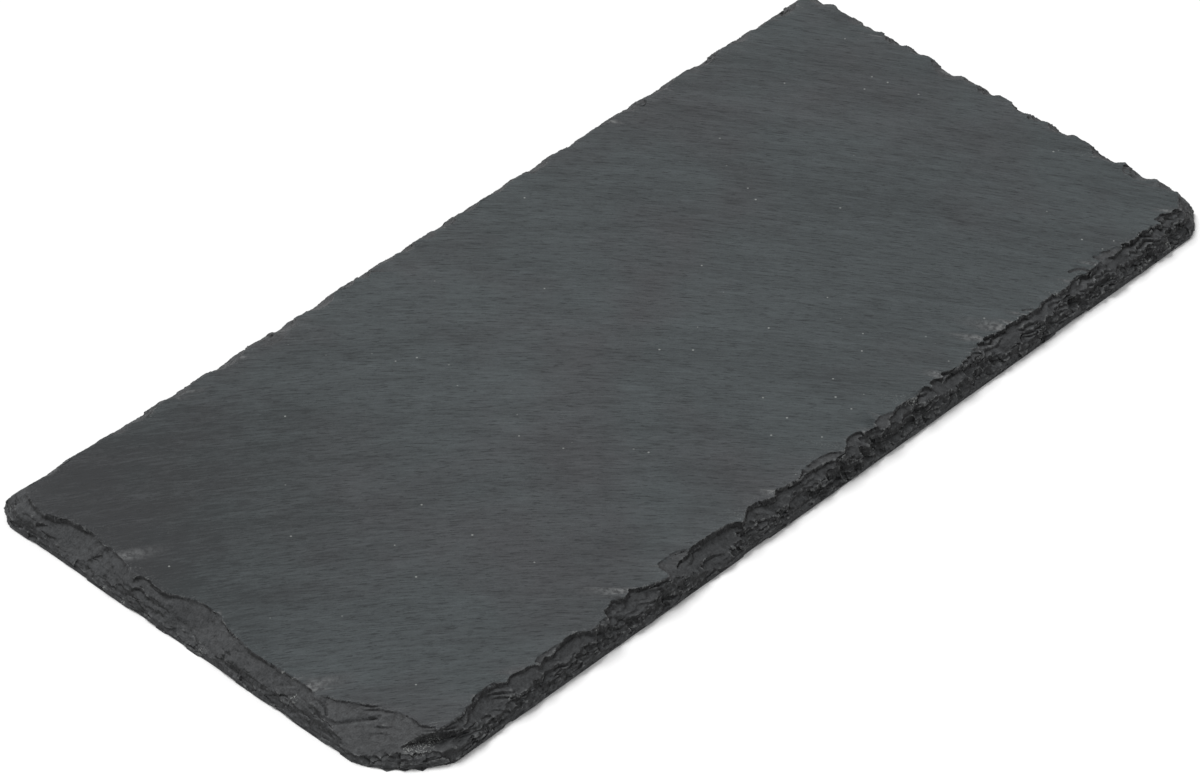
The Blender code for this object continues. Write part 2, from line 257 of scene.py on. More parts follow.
# Sides: where distances along it and inwards are counted from, its inward direction, the way that
# they grow along it, how far in it is worked, and how much its scars splinter.
DIAGONAL = math.sqrt(0.5)
CORNER_REACH = 26 * MM        # how far to both sides of the diagonal the corner is worked
ON_TABLE = 0.3 * MM           # the stone below this height stays as it is
SIDES = {
    "front": ((0.0, -1.0), (0.0, 1.0), (1.0, 0.0), 11.0, 1.0),
    "left": ((-1.0, 0.0), (1.0, 0.0), (0.0, 1.0), 11.0, 0.35),
    "back": ((0.0, 1.0), (0.0, -1.0), (1.0, 0.0), 11.0, 0.15),
    "right": ((1.0, 0.0), (-1.0, 0.0), (0.0, 1.0), 11.0, 0.2),
    "near corner": ((-1.0, -1.0), (DIAGONAL, DIAGONAL), (DIAGONAL, -DIAGONAL), 31.0, 0.35),
}
SPLINTERS = ((9.0, 1.6, 1.15), (4.0, 0.7, 0.18))     # length, width and how far they stand out
SPLINTER_PATCH = 5.0 * MM     # they come in patches of this size
PATCH_MIDDLE, PATCH_SWAY = 0.3, 1.3                  # how they vary from patch to patch
PATCH_RANGE = (0.08, 1.3)
RAGGED_END = (20 * MM, 70 * MM)                      # they grow stronger between these places
RAGGED_END_GAIN = 0.35
RAGGED = ((2.6, 0.20), (0.9, 0.09))                  # width, and how far in and out
VARIANTS = 3

points = read_points()
places, lineation_way = along_lines(points)
sides = {}
for side, (corner, inward, beside, depth, splintery) in SIDES.items():
    level = points[:, :2] - np.array(corner) * high_corner[:2]
    near = np.flatnonzero((level @ np.array(inward) < depth * MM) & (points[:, 2] > ON_TABLE))
    if side == "near corner":
        near = near[np.abs(level[near] @ np.array(beside)) < CORNER_REACH]
    variants = []
    for variant in range(VARIANTS):
        drawn_out = sum(reach * MM * swell(places[near], (length * MM, width * MM, 1.0),
                                           200 + 10 * variant + octave)
                        for octave, (length, width, reach) in enumerate(SPLINTERS))
        patches = PATCH_MIDDLE + RAGGED_END_GAIN * ramp(points[near, 0], *RAGGED_END)
        patches += PATCH_SWAY * swell(points[near], (SPLINTER_PATCH,) * 3, 190 + variant)
        drawn_out *= np.clip(patches, *PATCH_RANGE)
        warped = level[near] + lineation_way[near] * (drawn_out * splintery)[:, None]
        flat = points[near] * (1, 1, 0)
        for octave, (size, reach) in enumerate(RAGGED):
            for axis in (0, 1):
                seed = 300 + 40 * variant + 10 * octave + axis
                strength = reach * MM * (0.4 + 0.6 * splintery)
                warped[:, axis] += strength * swell(flat, (size * MM,) * 3, seed)
        variants.append((warped @ np.array(beside), warped @ np.array(inward)))
    sides[side] = (near, variants)

STEP_SOFTNESS = 0.16 * MM
FLOOR_SMOOTHING = 3.0 * MM    # how far the floor evens out the turns of its inner line
LEAST_FLOOR = 0.5 * MM        # no floor lies lower
APEX = (0.7 * MM, 0.4 * MM)   # where a flake's own level is read, along the side and inwards


def strike(side, fall, depths, line, variant, in_scar=False):
    """Take off one scar: outside its inner line the stone drops to a floor that slopes outwards.

    Its depth counts from the top face, or, in another scar, from the stone at its inner line.
    """
    near, variants = sides[side]
    along, inwards = variants[variant % VARIANTS]
    line = np.array(line) * MM
    here = np.flatnonzero((along > line[0, 0]) & (along < line[-1, 0])
                          & (inwards < line[:, 1].max() + MM))
    along, inwards, where = along[here], inwards[here], near[here]
    inner = np.interp(along, line[:, 0], line[:, 1])
    smooth = sum(np.interp(along + way * FLOOR_SMOOTHING, line[:, 0], line[:, 1])
                 for way in (-1, 0, 1)) / 3
    depth = np.interp(along, line[[0, -1], 0], np.array(depths) * MM)
    level = top_height
    if in_scar:
        apex = (np.abs(along - line[:, 0].mean()) < APEX[0]) & (np.abs(inwards - inner) < APEX[1])
        if not apex.any():
            return
        level = np.median(points[where[apex], 2])
    floor = np.maximum(level - depth - fall * (smooth - inwards), LEAST_FLOOR)
    inside = np.clip((inner - inwards) / STEP_SOFTNESS + 0.5, 0, 1)
    points[where, 2] -= inside * np.clip(points[where, 2] - floor, 0, None)


ARCH_FULLNESS = 2.3
ARCH_SHIFT = 0.22             # how far a full lean moves an arch's crown, as a share of its length


def arch(place, length, reach, lean):
    """A scar's inner line as an arch, for the sides that aren't in view."""
    across = np.linspace(-1, 1, 9)
    rise = reach * (1 - np.abs(across) ** ARCH_FULLNESS)
    shift = lean * ARCH_SHIFT * length * (1 - across * across)
    return np.stack((place + across * length / 2 + shift, rise), axis=1)


# Scars of the two near sides, placed from the photograph, in millimetres: the depths of
# the floor's inner end under the top face at the scar's two ends, how much the floor falls for
# each millimetre outwards, and the inner line as places along the side and distances in from it.
FRONT_SCARS = (
    ((0.5, 0.7), 0.56, ((-134.5, 5.0), (-131.5, 5.0), (-129, 5.1), (-126, 5.4), (-124, 6.1),
                        (-122.5, 6.2), (-121, 6.8), (-119, 7.5), (-116.5, 7.7), (-114.5, 7.8),
                        (-113.5, 7.5), (-112.5, 6.2), (-112, 5.0))),
    ((1.9, 1.1), 0.58, ((-131.8, 0.5), (-130, 2.8), (-128, 3.4), (-126.5, 4.0), (-124.5, 5.3),
                        (-122.5, 5.9), (-121, 6.4), (-119, 7.1), (-114.5, 7.4), (-113, 6.9),
                        (-111.5, 5.4), (-110, 3.6), (-108.3, 0.8))),
    ((0.8, 0.8), 0.56, ((-111.5, 5.0), (-109.5, 6.0), (-108.5, 6.0), (-106.5, 5.7), (-104.5, 5.3),
                        (-102.5, 4.9), (-101, 4.2), (-100.5, 3.4))),
    ((0.35, 0.35), 0.20, ((-101.5, 5.5), (-100, 6.4), (-97.5, 6.0), (-94.5, 5.9), (-92, 5.6))),
    ((1.3, 1.6), 0.56, ((-105, 1.2), (-103.5, 3.8), (-102.3, 3.7), (-100.5, 3.2), (-98.5, 3.8),
                        (-96.5, 4.4), (-94.5, 5.5), (-91.5, 5.7), (-89, 5.7), (-86.5, 5.2),
                        (-85.3, 4.0), (-84, 2.7), (-83, 0.8))),
    ((0.4, 0.4), 0.30, ((-84, 2.8), (-82, 3.4), (-80, 4.2), (-78.5, 4.6), (-77.5, 4.8),
                        (-77, 3.0))),
    ((1.1, 1.1), 0.54, ((-78, 4.5), (-77, 6.0), (-75.5, 6.1), (-73.5, 7.0), (-72, 6.6),
                        (-70.5, 5.8), (-69, 6.1), (-67.5, 6.4), (-66, 5.6), (-64.5, 5.2),
                        (-63, 4.6), (-60.5, 3.6), (-57.5, 3.2), (-56, 1.2))),
    ((3.2, 3.4), 0.56, ((-84.5, 1.2), (-82.5, 2.8), (-80, 3.3), (-77.5, 3.3), (-75, 2.8),
                        (-73, 2.2), (-71, 1.4), (-70, 0.5))),
    ((5.2, 5.0), 0.66, ((-68, 0.5), (-66, 0.9), (-63.5, 1.5), (-60, 2.2), (-58.5, 1.9),
                        (-57.5, 0.6))),
    ((0.3, 0.3), 0.15, ((-57, 7.2), (-56, 8.2), (-52.5, 8.4), (-51, 8.0), (-48.5, 7.0),
                        (-46.5, 6.2), (-45, 5.8))),
    ((0.7, 0.7), 0.35, ((-57, 5.2), (-55.5, 6.2), (-53.5, 5.4), (-52, 5.0))),
    ((1.1, 1.7), 0.56, ((-56.5, 3.0), (-54, 4.0), (-51.5, 5.2), (-49, 6.0), (-46.5, 6.2),
                        (-44.5, 6.2), (-42.5, 6.5), (-40.5, 6.3), (-36.5, 6.0), (-33.5, 5.8),
                        (-32.3, 5.0), (-31, 4.0), (-30.5, 3.2))),
    ((2.9, 3.0), 0.58, ((-51, 1.6), (-49, 2.2), (-46.5, 2.9), (-44, 3.6), (-42.5, 3.7),
                        (-40.5, 3.4), (-39, 2.4), (-38, 1.0))),
    ((4.6, 4.6), 0.60, ((-36, 0.6), (-34, 1.6), (-31.5, 1.6), (-29.5, 0.6))),
    ((1.3, 1.5), 0.56, ((-31, 3.5), (-29, 4.3), (-27.5, 5.4), (-25.5, 6.2), (-23.5, 6.4),
                        (-22, 6.1), (-21, 5.1), (-19.5, 4.7), (-17.6, 4.4), (-17, 5.1),
                        (-15.5, 5.7), (-13.5, 5.5), (-11.5, 4.9), (-8.5, 4.5), (-4.5, 4.7),
                        (-0.5, 4.4), (1.5, 4.2), (3.5, 3.4), (5, 2.2), (6, 1.0))),
    ((2.9, 3.0), 0.56, ((-13.5, 2.2), (-12, 3.3), (-9, 3.2), (-6, 2.6), (-5, 1.6))),
    ((5.1, 5.1), 0.56, ((-10.5, 0.8), (-9, 2.3), (-6, 1.9), (-3, 1.2), (-0.5, 1.8), (2, 2.7),
                        (5, 2.7), (7.5, 2.0), (9.5, 0.8))),
    ((0.35, 0.35), 0.20, ((-9, 4.8), (-6.5, 5.7), (-3.5, 6.2), (-0.5, 6.5), (1.5, 6.1), (3, 5.7),
                          (5, 4.5), (6.5, 3.5), (8, 2.7))),
    ((0.6, 0.6), 0.25, ((9, 5.0), (9.6, 5.9), (12, 6.1), (14, 5.9), (15, 5.2))),
    ((1.2, 1.4), 0.58, ((4.5, 2.0), (6.5, 2.8), (8.5, 3.6), (9.5, 4.2), (12, 4.3), (14.5, 4.2),
                        (17, 3.8), (19, 3.7), (21, 2.4))),
    ((4.4, 4.4), 0.56, ((12, 1.0), (14, 2.4), (17, 2.6), (20, 2.6), (22, 1.4))),
    ((0.35, 0.35), 0.25, ((20, 5.4), (21, 5.6), (23.5, 5.9), (25.5, 5.5), (26.5, 4.8))),
    ((1.0, 0.9), 0.58, ((24, 3.6), (25.5, 4.3), (27, 4.8), (28, 5.3), (29.5, 5.1), (31, 4.8),
                        (33, 4.9), (35.5, 5.0), (37.5, 5.3), (39, 5.4), (40, 4.2), (41, 3.5))),
    ((2.2, 2.2), 0.56, ((19.5, 1.4), (22, 2.4), (24, 2.7), (26.5, 3.3), (28.5, 3.3), (30, 2.2),
                        (30.5, 1.4))),
    ((4.1, 4.1), 0.56, ((18.5, 1.2), (20, 2.3), (22, 2.6), (25.5, 2.2), (29.5, 2.3), (31, 1.0))),
    ((5.0, 5.0), 0.66, ((24, 0.9), (27, 1.5), (30, 1.9), (31.5, 0.8))),
    ((4.0, 4.0), 0.60, ((32, 2.8), (33.5, 3.4), (35.5, 2.2), (39, 1.9), (42, 2.1), (43.5, 1.5),
                        (44, 0.6))),
    ((0.8, 0.8), 0.56, ((41, 5.0), (42, 5.8), (44, 5.2), (46.5, 4.8), (48.5, 4.6), (51.5, 4.6),
                        (54.5, 5.2), (56, 4.2), (57, 3.8))),
    ((1.9, 1.9), 0.54, ((42.6, 1.5), (43.8, 3.8), (46.3, 4.2), (48.3, 4.7), (50.8, 4.7), (52, 4.0),
                        (52.8, 2.6), (53.5, 0.8))),
    ((2.3, 2.4), 0.58, ((51.5, 3.0), (53.3, 3.8), (56.3, 3.6), (58.3, 3.8), (60.3, 3.2),
                        (62.5, 2.8), (63.5, 1.0))),
    ((0.4, 0.4), 0.30, ((55.5, 5.0), (57, 5.7), (58.5, 6.1), (60.5, 6.3), (61.5, 5.6))),
    ((0.8, 1.2), 0.56, ((60.5, 4.6), (61.5, 6.6), (63.5, 7.0), (65.5, 6.9), (68, 6.3), (70, 5.8),
                        (71.5, 5.4), (72.5, 6.1), (74.5, 6.1), (76.5, 5.7), (78.5, 5.2),
                        (79.5, 4.2), (80, 3.4))),
    ((2.2, 2.2), 0.56, ((65.9, 3.2), (66.5, 4.1), (67.8, 4.0), (68.4, 3.0))),
    ((3.9, 2.1), 0.58, ((72, 0.8), (76.5, 1.3), (81.5, 1.8), (86.5, 2.4), (88.5, 3.1), (89.5, 3.8),
                        (92, 4.0), (95, 3.6), (96.5, 2.6), (98, 1.2))),
    ((0.8, 1.0), 0.56, ((78.5, 4.4), (80, 4.9), (83.5, 4.6), (84.5, 5.0), (85.5, 6.1), (86.5, 6.0),
                        (88.5, 6.2), (90.5, 6.1), (91.5, 5.4), (93, 5.2), (95, 5.1), (96.5, 5.3),
                        (98, 5.9), (99.5, 6.1), (101, 5.8), (102.5, 5.2), (103.5, 4.8))),
    ((0.7, 0.5), 0.35, ((102.5, 4.4), (104.5, 4.7), (107, 5.1), (109, 5.7), (110, 5.2))),
    ((1.7, 1.4), 0.58, ((99.5, 1.5), (101.5, 3.4), (104, 4.0), (106.5, 4.6), (109, 5.2),
                        (110.5, 4.0), (111, 2.0))),
    ((4.4, 4.4), 0.60, ((93.5, 0.8), (95, 1.8), (100, 2.2), (101, 1.0))),
    ((4.1, 4.1), 0.60, ((102, 1.2), (103.5, 2.7), (106.5, 2.5), (110.5, 2.0), (112, 0.8))),
    ((0.3, 0.3), 0.12, ((109.5, 8.0), (110.3, 8.7), (112.5, 8.2), (115, 7.4), (117.3, 6.6),
                        (118, 5.5))),
    ((1.0, 1.2), 0.58, ((110.5, 4.5), (111.5, 5.6), (113, 5.3), (114.5, 4.6), (115.5, 5.2),
                        (117.5, 5.6), (119.5, 6.0), (120.5, 5.3), (122.5, 4.8), (124.5, 5.1),
                        (127.5, 5.6), (130, 5.5), (131.5, 4.6), (133, 3.6))),
    ((1.9, 2.0), 0.58, ((118.5, 3.0), (120, 3.6), (122, 3.6), (126, 3.9), (128, 3.4), (129.5, 2.2),
                        (130.5, 1.0))),
    ((0.9, 0.9), 0.58, ((132.5, 4.2), (133.5, 6.1), (135.5, 6.1), (138, 5.7), (140.5, 5.1),
                        (142, 4.5), (143.5, 4.4), (146, 5.2), (148, 7.0))),
    ((4.2, 4.0), 0.56, ((131.5, 1.5), (134, 2.3), (137, 2.7), (141, 2.5), (143.5, 2.6),
                        (146, 3.6))),
)
LEFT_SCARS = (
    ((1.3, 1.3), 0.60, ((57.5, 2.0), (59.5, 3.4), (61.5, 4.6), (64, 5.4), (66, 4.9), (68, 3.6),
                        (70.5, 2.0))),
    ((0.5, 0.5), 0.85, ((22.7, 3.0), (24.5, 4.6), (26, 5.2), (28, 5.4), (31, 6.0), (35, 6.4),
                        (39, 6.8), (41, 7.2), (44, 6.9))),
    ((1.1, 1.5), 0.70, ((36, 1.6), (38, 3.6), (39.5, 5.2), (40.8, 6.6), (41.8, 7.6), (43.5, 7.6),
                        (47.3, 7.1), (49, 6.7), (51.3, 6.4), (53.5, 5.1), (56.2, 4.4), (58, 3.2),
                        (60, 2.5))),
    ((2.9, 3.1), 0.70, ((52.5, 2.2), (53.3, 3.2), (54.5, 3.4), (56.5, 3.0), (58, 2.2))),
    ((4.0, 4.2), 0.70, ((46.5, 1.2), (47.5, 2.6), (48.5, 3.5), (49.3, 3.4), (51, 2.6), (52.5, 2.2),
                        (54.5, 1.6))),
    ((1.0, 1.0), 0.72, ((9, 5.0), (10, 6.5), (11, 6.2), (12.5, 5.6), (14, 5.2), (15.5, 4.8),
                        (17, 4.8), (19, 4.9), (21, 5.4), (22.5, 5.2), (24, 3.8))),
    ((3.2, 3.2), 0.72, ((8, 1.0), (9, 2.2), (10, 3.2), (11.5, 3.1), (14.5, 3.0), (18, 3.2),
                        (21.5, 3.4), (23, 2.6), (24.5, 1.5))),
    ((0.6, 0.5), 0.82, ((-16, 4.0), (-15, 5.0), (-12.5, 5.6), (-10, 5.9), (-7, 6.2), (-4.8, 7.2),
                        (-2.3, 8.4), (-0.7, 8.6), (4.3, 8.6), (6.8, 8.1), (9, 7.3), (11, 6.2),
                        (13, 5.2))),
    ((0.9, 0.9), 0.82, ((-31, 3.2), (-30, 4.6), (-28.5, 5.4), (-24.5, 5.2), (-20.5, 5.0),
                        (-18, 4.8), (-16, 4.9), (-13.5, 5.3), (-11, 4.6))),
    ((0.5, 0.4), 0.82, ((-41, 3.0), (-40, 4.6), (-38.7, 5.5), (-36.5, 5.4), (-32.5, 5.8),
                        (-28.5, 5.6), (-24.5, 5.5), (-21, 5.1), (-19.5, 4.6))),
)
CORNER_SCARS = (
    ((0.5, 0.3), 0.40, ((-23.5, 26.0), (-21.6, 29.0), (-20.1, 28.0), (-14.5, 25.8), (-11.6, 25.2),
                        (-8.1, 24.4), (-5.7, 24.0), (-3.2, 23.0), (-1.0, 21.6), (1.3, 19.7),
                        (3.8, 17.3), (5.5, 16.8), (7.4, 16.4))),
    ((2.9, 0.45), 0.36, ((-22.5, 23.0), (-22.1, 23.7), (-17.5, 21.0), (-11.2, 20.9), (-6.5, 22.2),
                         (-3.7, 23.0), (-3.2, 22.6))),
    ((3.9, 3.2), 0.25, ((-6.5, 9.0), (-4.1, 11.3), (-0.6, 13.7), (3.6, 15.2), (5.8, 15.4),
                        (7.8, 15.6), (10, 16.2), (11.5, 16.6), (13, 15.8), (14.5, 14.5))),
)

# Scars of the two far sides: place along the side, length, reach, depth and lean of an arch
BACK_SCARS = (
    (-144.5, 12.0, 5.4, 0.9, 0.0), (-134.5, 13.0, 6.6, 0.8, 0.0), (-121.0, 12.0, 4.9, 1.2, 0.0),
    (-104.5, 20.0, 6.8, 0.7, 0.0), (-92.5, 17.0, 6.9, 0.6, 0.2), (-75.5, 20.0, 7.2, 0.9, 0.1),
    (-61.0, 13.0, 5.9, 1.3, 0.0), (-55.0, 15.0, 8.0, 0.5, 0.2), (-42.5, 18.0, 7.4, 0.8, 0.1),
    (-32.0, 12.0, 6.0, 1.2, 0.0), (-26.5, 11.0, 7.7, 0.5, 0.0), (-17.0, 12.0, 5.9, 1.0, 0.0),
    (-11.0, 12.0, 7.3, 0.6, 0.3), (3.5, 18.0, 6.4, 0.8, 0.0), (13.0, 14.0, 6.5, 1.1, 0.0),
    (23.5, 14.0, 6.3, 0.7, 0.0), (38.0, 15.0, 7.0, 0.8, 0.1), (50.0, 19.0, 5.7, 1.3, 0.0),
    (64.0, 16.0, 5.8, 1.0, 0.0), (74.0, 13.0, 7.1, 0.7, 0.0), (86.0, 18.0, 6.5, 1.1, 0.0),
    (103.0, 20.0, 7.3, 0.7, 0.0), (118.0, 14.0, 7.3, 0.6, 0.0), (126.0, 12.0, 6.2, 1.2, 0.0),
    (135.5, 18.0, 7.5, 0.9, 0.0), (146.0, 11.0, 7.9, 0.8, 0.0),
)
RIGHT_SCARS = (
    (64.5, 13.0, 6.6, 0.8, 0.0), (55.0, 14.0, 4.3, 1.4, 0.0), (45.0, 13.0, 5.6, 0.9, 0.0),
    (36.0, 13.0, 6.1, 1.0, 0.0), (28.5, 11.0, 6.0, 0.7, 0.0), (17.0, 14.0, 6.2, 1.1, 0.0),
    (9.0, 12.0, 6.1, 0.6, 0.0), (2.5, 11.0, 6.9, 0.9, 0.0), (-9.5, 12.0, 6.0, 1.2, 0.0),
    (-14.5, 11.0, 7.2, 0.6, 0.0), (-22.5, 13.0, 6.2, 1.0, 0.0), (-38.5, 17.0, 7.0, 0.8, 0.0),
    (-50.0, 13.0, 6.2, 1.2, 0.0), (-59.5, 12.0, 5.4, 0.9, 0.0), (-68.0, 9.0, 6.2, 0.8, 0.0),
)
BACK_FALL, RIGHT_FALL = 0.75, 0.66

# Soft bevels that run further in along the far sides: place along the side, length and reach
BACK_BEVELS = (
    (-60.0, 24.0, 9.6), (-3.0, 12.0, 9.0), (35.5, 10.0, 9.2), (77.0, 11.0, 9.4),
    (-112.0, 14.0, 8.6),
)
RIGHT_BEVELS = (
    (16.0, 19.0, 9.4), (-50.0, 16.0, 9.2), (50.0, 12.0, 8.6),
)
BEVEL_DEPTH, BEVEL_FALL = 0.05, 0.26

rng = np.random.default_rng(5)
for side, rows in (("front", FRONT_SCARS), ("left", LEFT_SCARS), ("near corner", CORNER_SCARS)):
    for variant, (depths, fall, line) in enumerate(rows):
        strike(side, fall, depths, line, variant)
for side, rows, fall in (("back", BACK_SCARS, BACK_FALL), ("right", RIGHT_SCARS, RIGHT_FALL)):
    for variant, (place, length, reach, depth, lean) in enumerate(rows):
        strike(side, fall, (depth, depth), arch(place, length, reach, lean), variant)
for side, rows in (("back", BACK_BEVELS), ("right", RIGHT_BEVELS)):
    for variant, (place, length, reach) in enumerate(rows):
        line = arch(place, length, reach, 0.0)
        strike(side, BEVEL_FALL, (BEVEL_DEPTH, BEVEL_DEPTH), line, variant)

# Small flakes between the scars and below them, drawn at random in two rounds for each side:
# spacing along the side, then the ranges of length, place of the inner end, step and fall.
FLAKES = {
    "front": ((2.2, (3.0, 9.0), (0.6, 3.0), (0.35, 0.90), (0.4, 1.2)),
              (2.0, (1.6, 4.0), (0.4, 2.4), (0.20, 0.50), (0.3, 1.2))),
    "left": ((5.0, (4.0, 9.0), (0.6, 2.2), (0.20, 0.45), (0.6, 1.2)),
             (1.8, (1.5, 4.0), (0.4, 1.5), (0.15, 0.40), (0.4, 1.2))),
    "near corner": ((3.0, (3.0, 7.0), (10.4, 12.6), (0.25, 0.60), (0.4, 1.0)),
                    (2.0, (1.5, 4.0), (10.2, 12.2), (0.15, 0.40), (0.4, 1.0))),
    "back": ((4.0, (4.0, 10.0), (0.8, 4.0), (0.20, 0.60), (0.5, 1.0)),
             (2.2, (1.5, 4.0), (0.6, 3.0), (0.12, 0.35), (0.4, 1.0))),
    "right": ((4.0, (4.0, 10.0), (0.8, 4.0), (0.20, 0.60), (0.4, 0.9)),
              (2.2, (1.5, 4.0), (0.6, 3.0), (0.12, 0.35), (0.3, 0.9))),
}
# The stretch of each side that they cover, in millimetres, and the shape of their inner line
FLAKED = {"front": (-130, 140), "left": (-50, 64), "near corner": (-11, 11), "back": (-142, 144),
          "right": (-66, 68)}
FLAKE_LEAN, LEAN_LENGTH = 0.35, 3.0
FLAKE_ROUNDING = 0.9
for side, rounds in FLAKES.items():
    for spacing, lengths, inners, steps, falls in rounds:
        along, end = FLAKED[side]
        while along < end:
            length, inner = rng.uniform(*lengths), rng.uniform(*inners)
            lean = rng.uniform(-FLAKE_LEAN, FLAKE_LEAN) * min(length, LEAN_LENGTH)
            start, stop = along - length / 2, along + length / 2
            line = ((start, inner - lean - FLAKE_ROUNDING),
                    (start + 0.25 * length, inner - 0.5 * lean),
                    (stop - 0.25 * length, inner + 0.5 * lean),
                    (stop, inner + lean - FLAKE_ROUNDING))
            step = rng.uniform(*steps)
            fall = rng.uniform(*falls)
            strike(side, fall, (step, step), line, int(rng.integers(VARIANTS)), in_scar=True)
            along += spacing * rng.uniform(0.6, 1.4)
write_points(points)

# The striking stretches the walls of the steps, so their long edges get two more points each.
LONG_EDGE = 0.5 * MM
ends = read_ends()
outer = in_worked_part(points) & (points[:, 2] > SKIN)
spans = np.linalg.norm(points[ends[:, 1]] - points[ends[:, 0]], axis=1)
select("EDGE", (spans > LONG_EDGE) & outer[ends].all(axis=1))
bpy.ops.mesh.subdivide(number_cuts=2)
bpy.ops.object.mode_set(mode="OBJECT")


# Which points belong to the broad faces and which to the struck edges, how far a point lies from
# the rim, and which way leads out of the slab.
EDGE_REACH = 18.0 * MM        # no scar reaches further in than this
LEVEL = 0.9                   # a point whose normal is this upright belongs to a broad face
RIM_DEPTH = 0.7 * MM          # how far below the top face its broken rim begins
CORNER_TURN = 12 * MM         # over this distance the outward direction turns at a corner


def parts_of_slab(points, normals):
    """Which points lie on the top face, on the underside and on the struck edges."""
    on_top = (points[:, 2] > top_height - SKIN) & (normals[:, 2] > LEVEL)
    on_underside = (points[:, 2] < SKIN) & (normals[:, 2] < -LEVEL)
    return on_top, on_underside, ~(on_top | on_underside)


def distance_to_rim(points, asked, struck):
    """How far each asked point lies from the top face's broken rim, seen from above."""
    rim = points[struck & (points[:, 2] > top_height - RIM_DEPTH)]
    tree = KDTree(len(rim))
    for index, point in enumerate(rim):
        tree.insert((point[0], point[1], 0.0), index)
    tree.balance()
    distance = np.full(len(points), high_corner[0])
    distance[asked] = [tree.find((x, y, 0.0))[2] for x, y in points[asked, :2]]
    return distance


def outwards(points):
    """The level direction out of the slab: square to the sides, turning at the corners."""
    past = np.abs(points[:, :2]) - (high_corner[:2] - CORNER_TURN)
    corner = np.clip(past, 0.0, None)
    inside = (corner.max(axis=1) <= 0)
    corner[inside, 0] = (past[inside, 0] > past[inside, 1])
    corner[inside, 1] = (past[inside, 0] <= past[inside, 1])
    corner /= np.linalg.norm(corner, axis=1, keepdims=True)
    level = np.zeros((len(points), 3))
    level[:, :2] = corner * np.sign(points[:, :2])
    return level


# Leaves: the steep places part in thin ragged leaves, each standing out or back by a few tenths,
# and the lowest part of the sides is broken rough. The floors of the scars are nearly smooth.
STEEP = (0.86, 0.55)          # upright share of a normal where a steep place begins and is full
LOW = (3.6 * MM, 2.0 * MM)    # heights where the rough lowest part begins and is full
LEAST_ROUGH, ROUGH_GAIN = 0.08, 0.95
LEAF_COUNT = 40
LEAF_THICKNESS = (0.25 * MM, 0.75 * MM)
LEAF_WAVE = 0.45 * MM
LEAF_RAGGED = 0.42 * MM
LEAF_RAGS = ((0.55, 4.5), (0.30, 1.7), (0.20, 0.8))       # share and width of the ragging
FACET_HEIGHT = 0.40 * MM
CHIP_HEIGHT = 0.12 * MM
GRIT_HEIGHT = 0.035 * MM
FLOOR_SWELL = 0.10 * MM
CALM_LEFT = 0.6               # how much of the roughness the left side and its corner have
LEFT_END = (-140 * MM, -145 * MM)         # where the left side begins and is full, along the slab
LEFT_FRONT = (-75 * MM, -60 * MM)         # and across it
LEFT_CORNER = (-198 * MM, -204 * MM)      # and at the clipped corner, as x and y added up
TERRACE_COUNT = 16
TERRACE_THICKNESS = (0.7 * MM, 1.3 * MM)
TERRACE_RAGGED = ((9.0, 1.8, 0.65), (4.0, 0.8, 0.16))     # length, width and height of the ragging
TERRACE_EDGE = (0.36, 0.58)   # the part of a terrace's thickness over which it steps down
TAPER = (0.05 * MM, 0.6 * MM)   # from the lower outline, which stays straight, to full raggedness

points = read_points()
normals = read_points("normal")
on_top, on_underside, struck = parts_of_slab(points, normals)
edge = points[struck]
edge_normals = normals[struck]
steep = ramp(edge_normals[:, 2], *STEEP)
low = ramp(edge[:, 2], *LOW)
rough = np.clip(LEAST_ROUGH + ROUGH_GAIN * np.maximum(steep, 0.8 * low), 0, 1)
rough *= 0.8 + 0.4 * swell(edge, (6 * MM, 6 * MM, 3 * MM), 5)
left_side = ramp(edge[:, 0], *LEFT_END) * ramp(edge[:, 1], *LEFT_FRONT)
left_side = np.maximum(left_side, ramp(edge[:, 0] + edge[:, 1], *LEFT_CORNER))
rough *= 1 - (1 - CALM_LEFT) * left_side * (1 - 0.6 * low)

leaf_tops = np.cumsum(rng.uniform(*LEAF_THICKNESS, LEAF_COUNT)) - 1.0 * MM
leaf_height = edge[:, 2] + LEAF_WAVE * swell(edge, (14 * MM, 14 * MM, 40 * MM), 6)
leaf = np.searchsorted(leaf_tops, leaf_height)
place_in_leaf = np.stack((edge[:, 0], edge[:, 1], leaf * 10 * MM), axis=1)
ragged = sum(share * swell(place_in_leaf, (width * MM, width * MM, 1 * MM), 7 + octave)
             for octave, (share, width) in enumerate(LEAF_RAGS))
moved = outwards(edge) * (ragged * rough * LEAF_RAGGED)[:, None]
raised = facets(edge, (4.0 * MM, 4.0 * MM, 1.5 * MM), 30) * rough * FACET_HEIGHT
raised += facets(edge, (1.4 * MM, 1.4 * MM, 0.7 * MM), 50) * rough * CHIP_HEIGHT
raised += swell(edge, (0.6 * MM, 0.6 * MM, 0.45 * MM), 11) * (0.25 + 0.75 * rough) * GRIT_HEIGHT
raised += swell(edge, (4.5 * MM, 4.5 * MM, 4.5 * MM), 12) * FLOOR_SWELL
moved += edge_normals * raised[:, None]

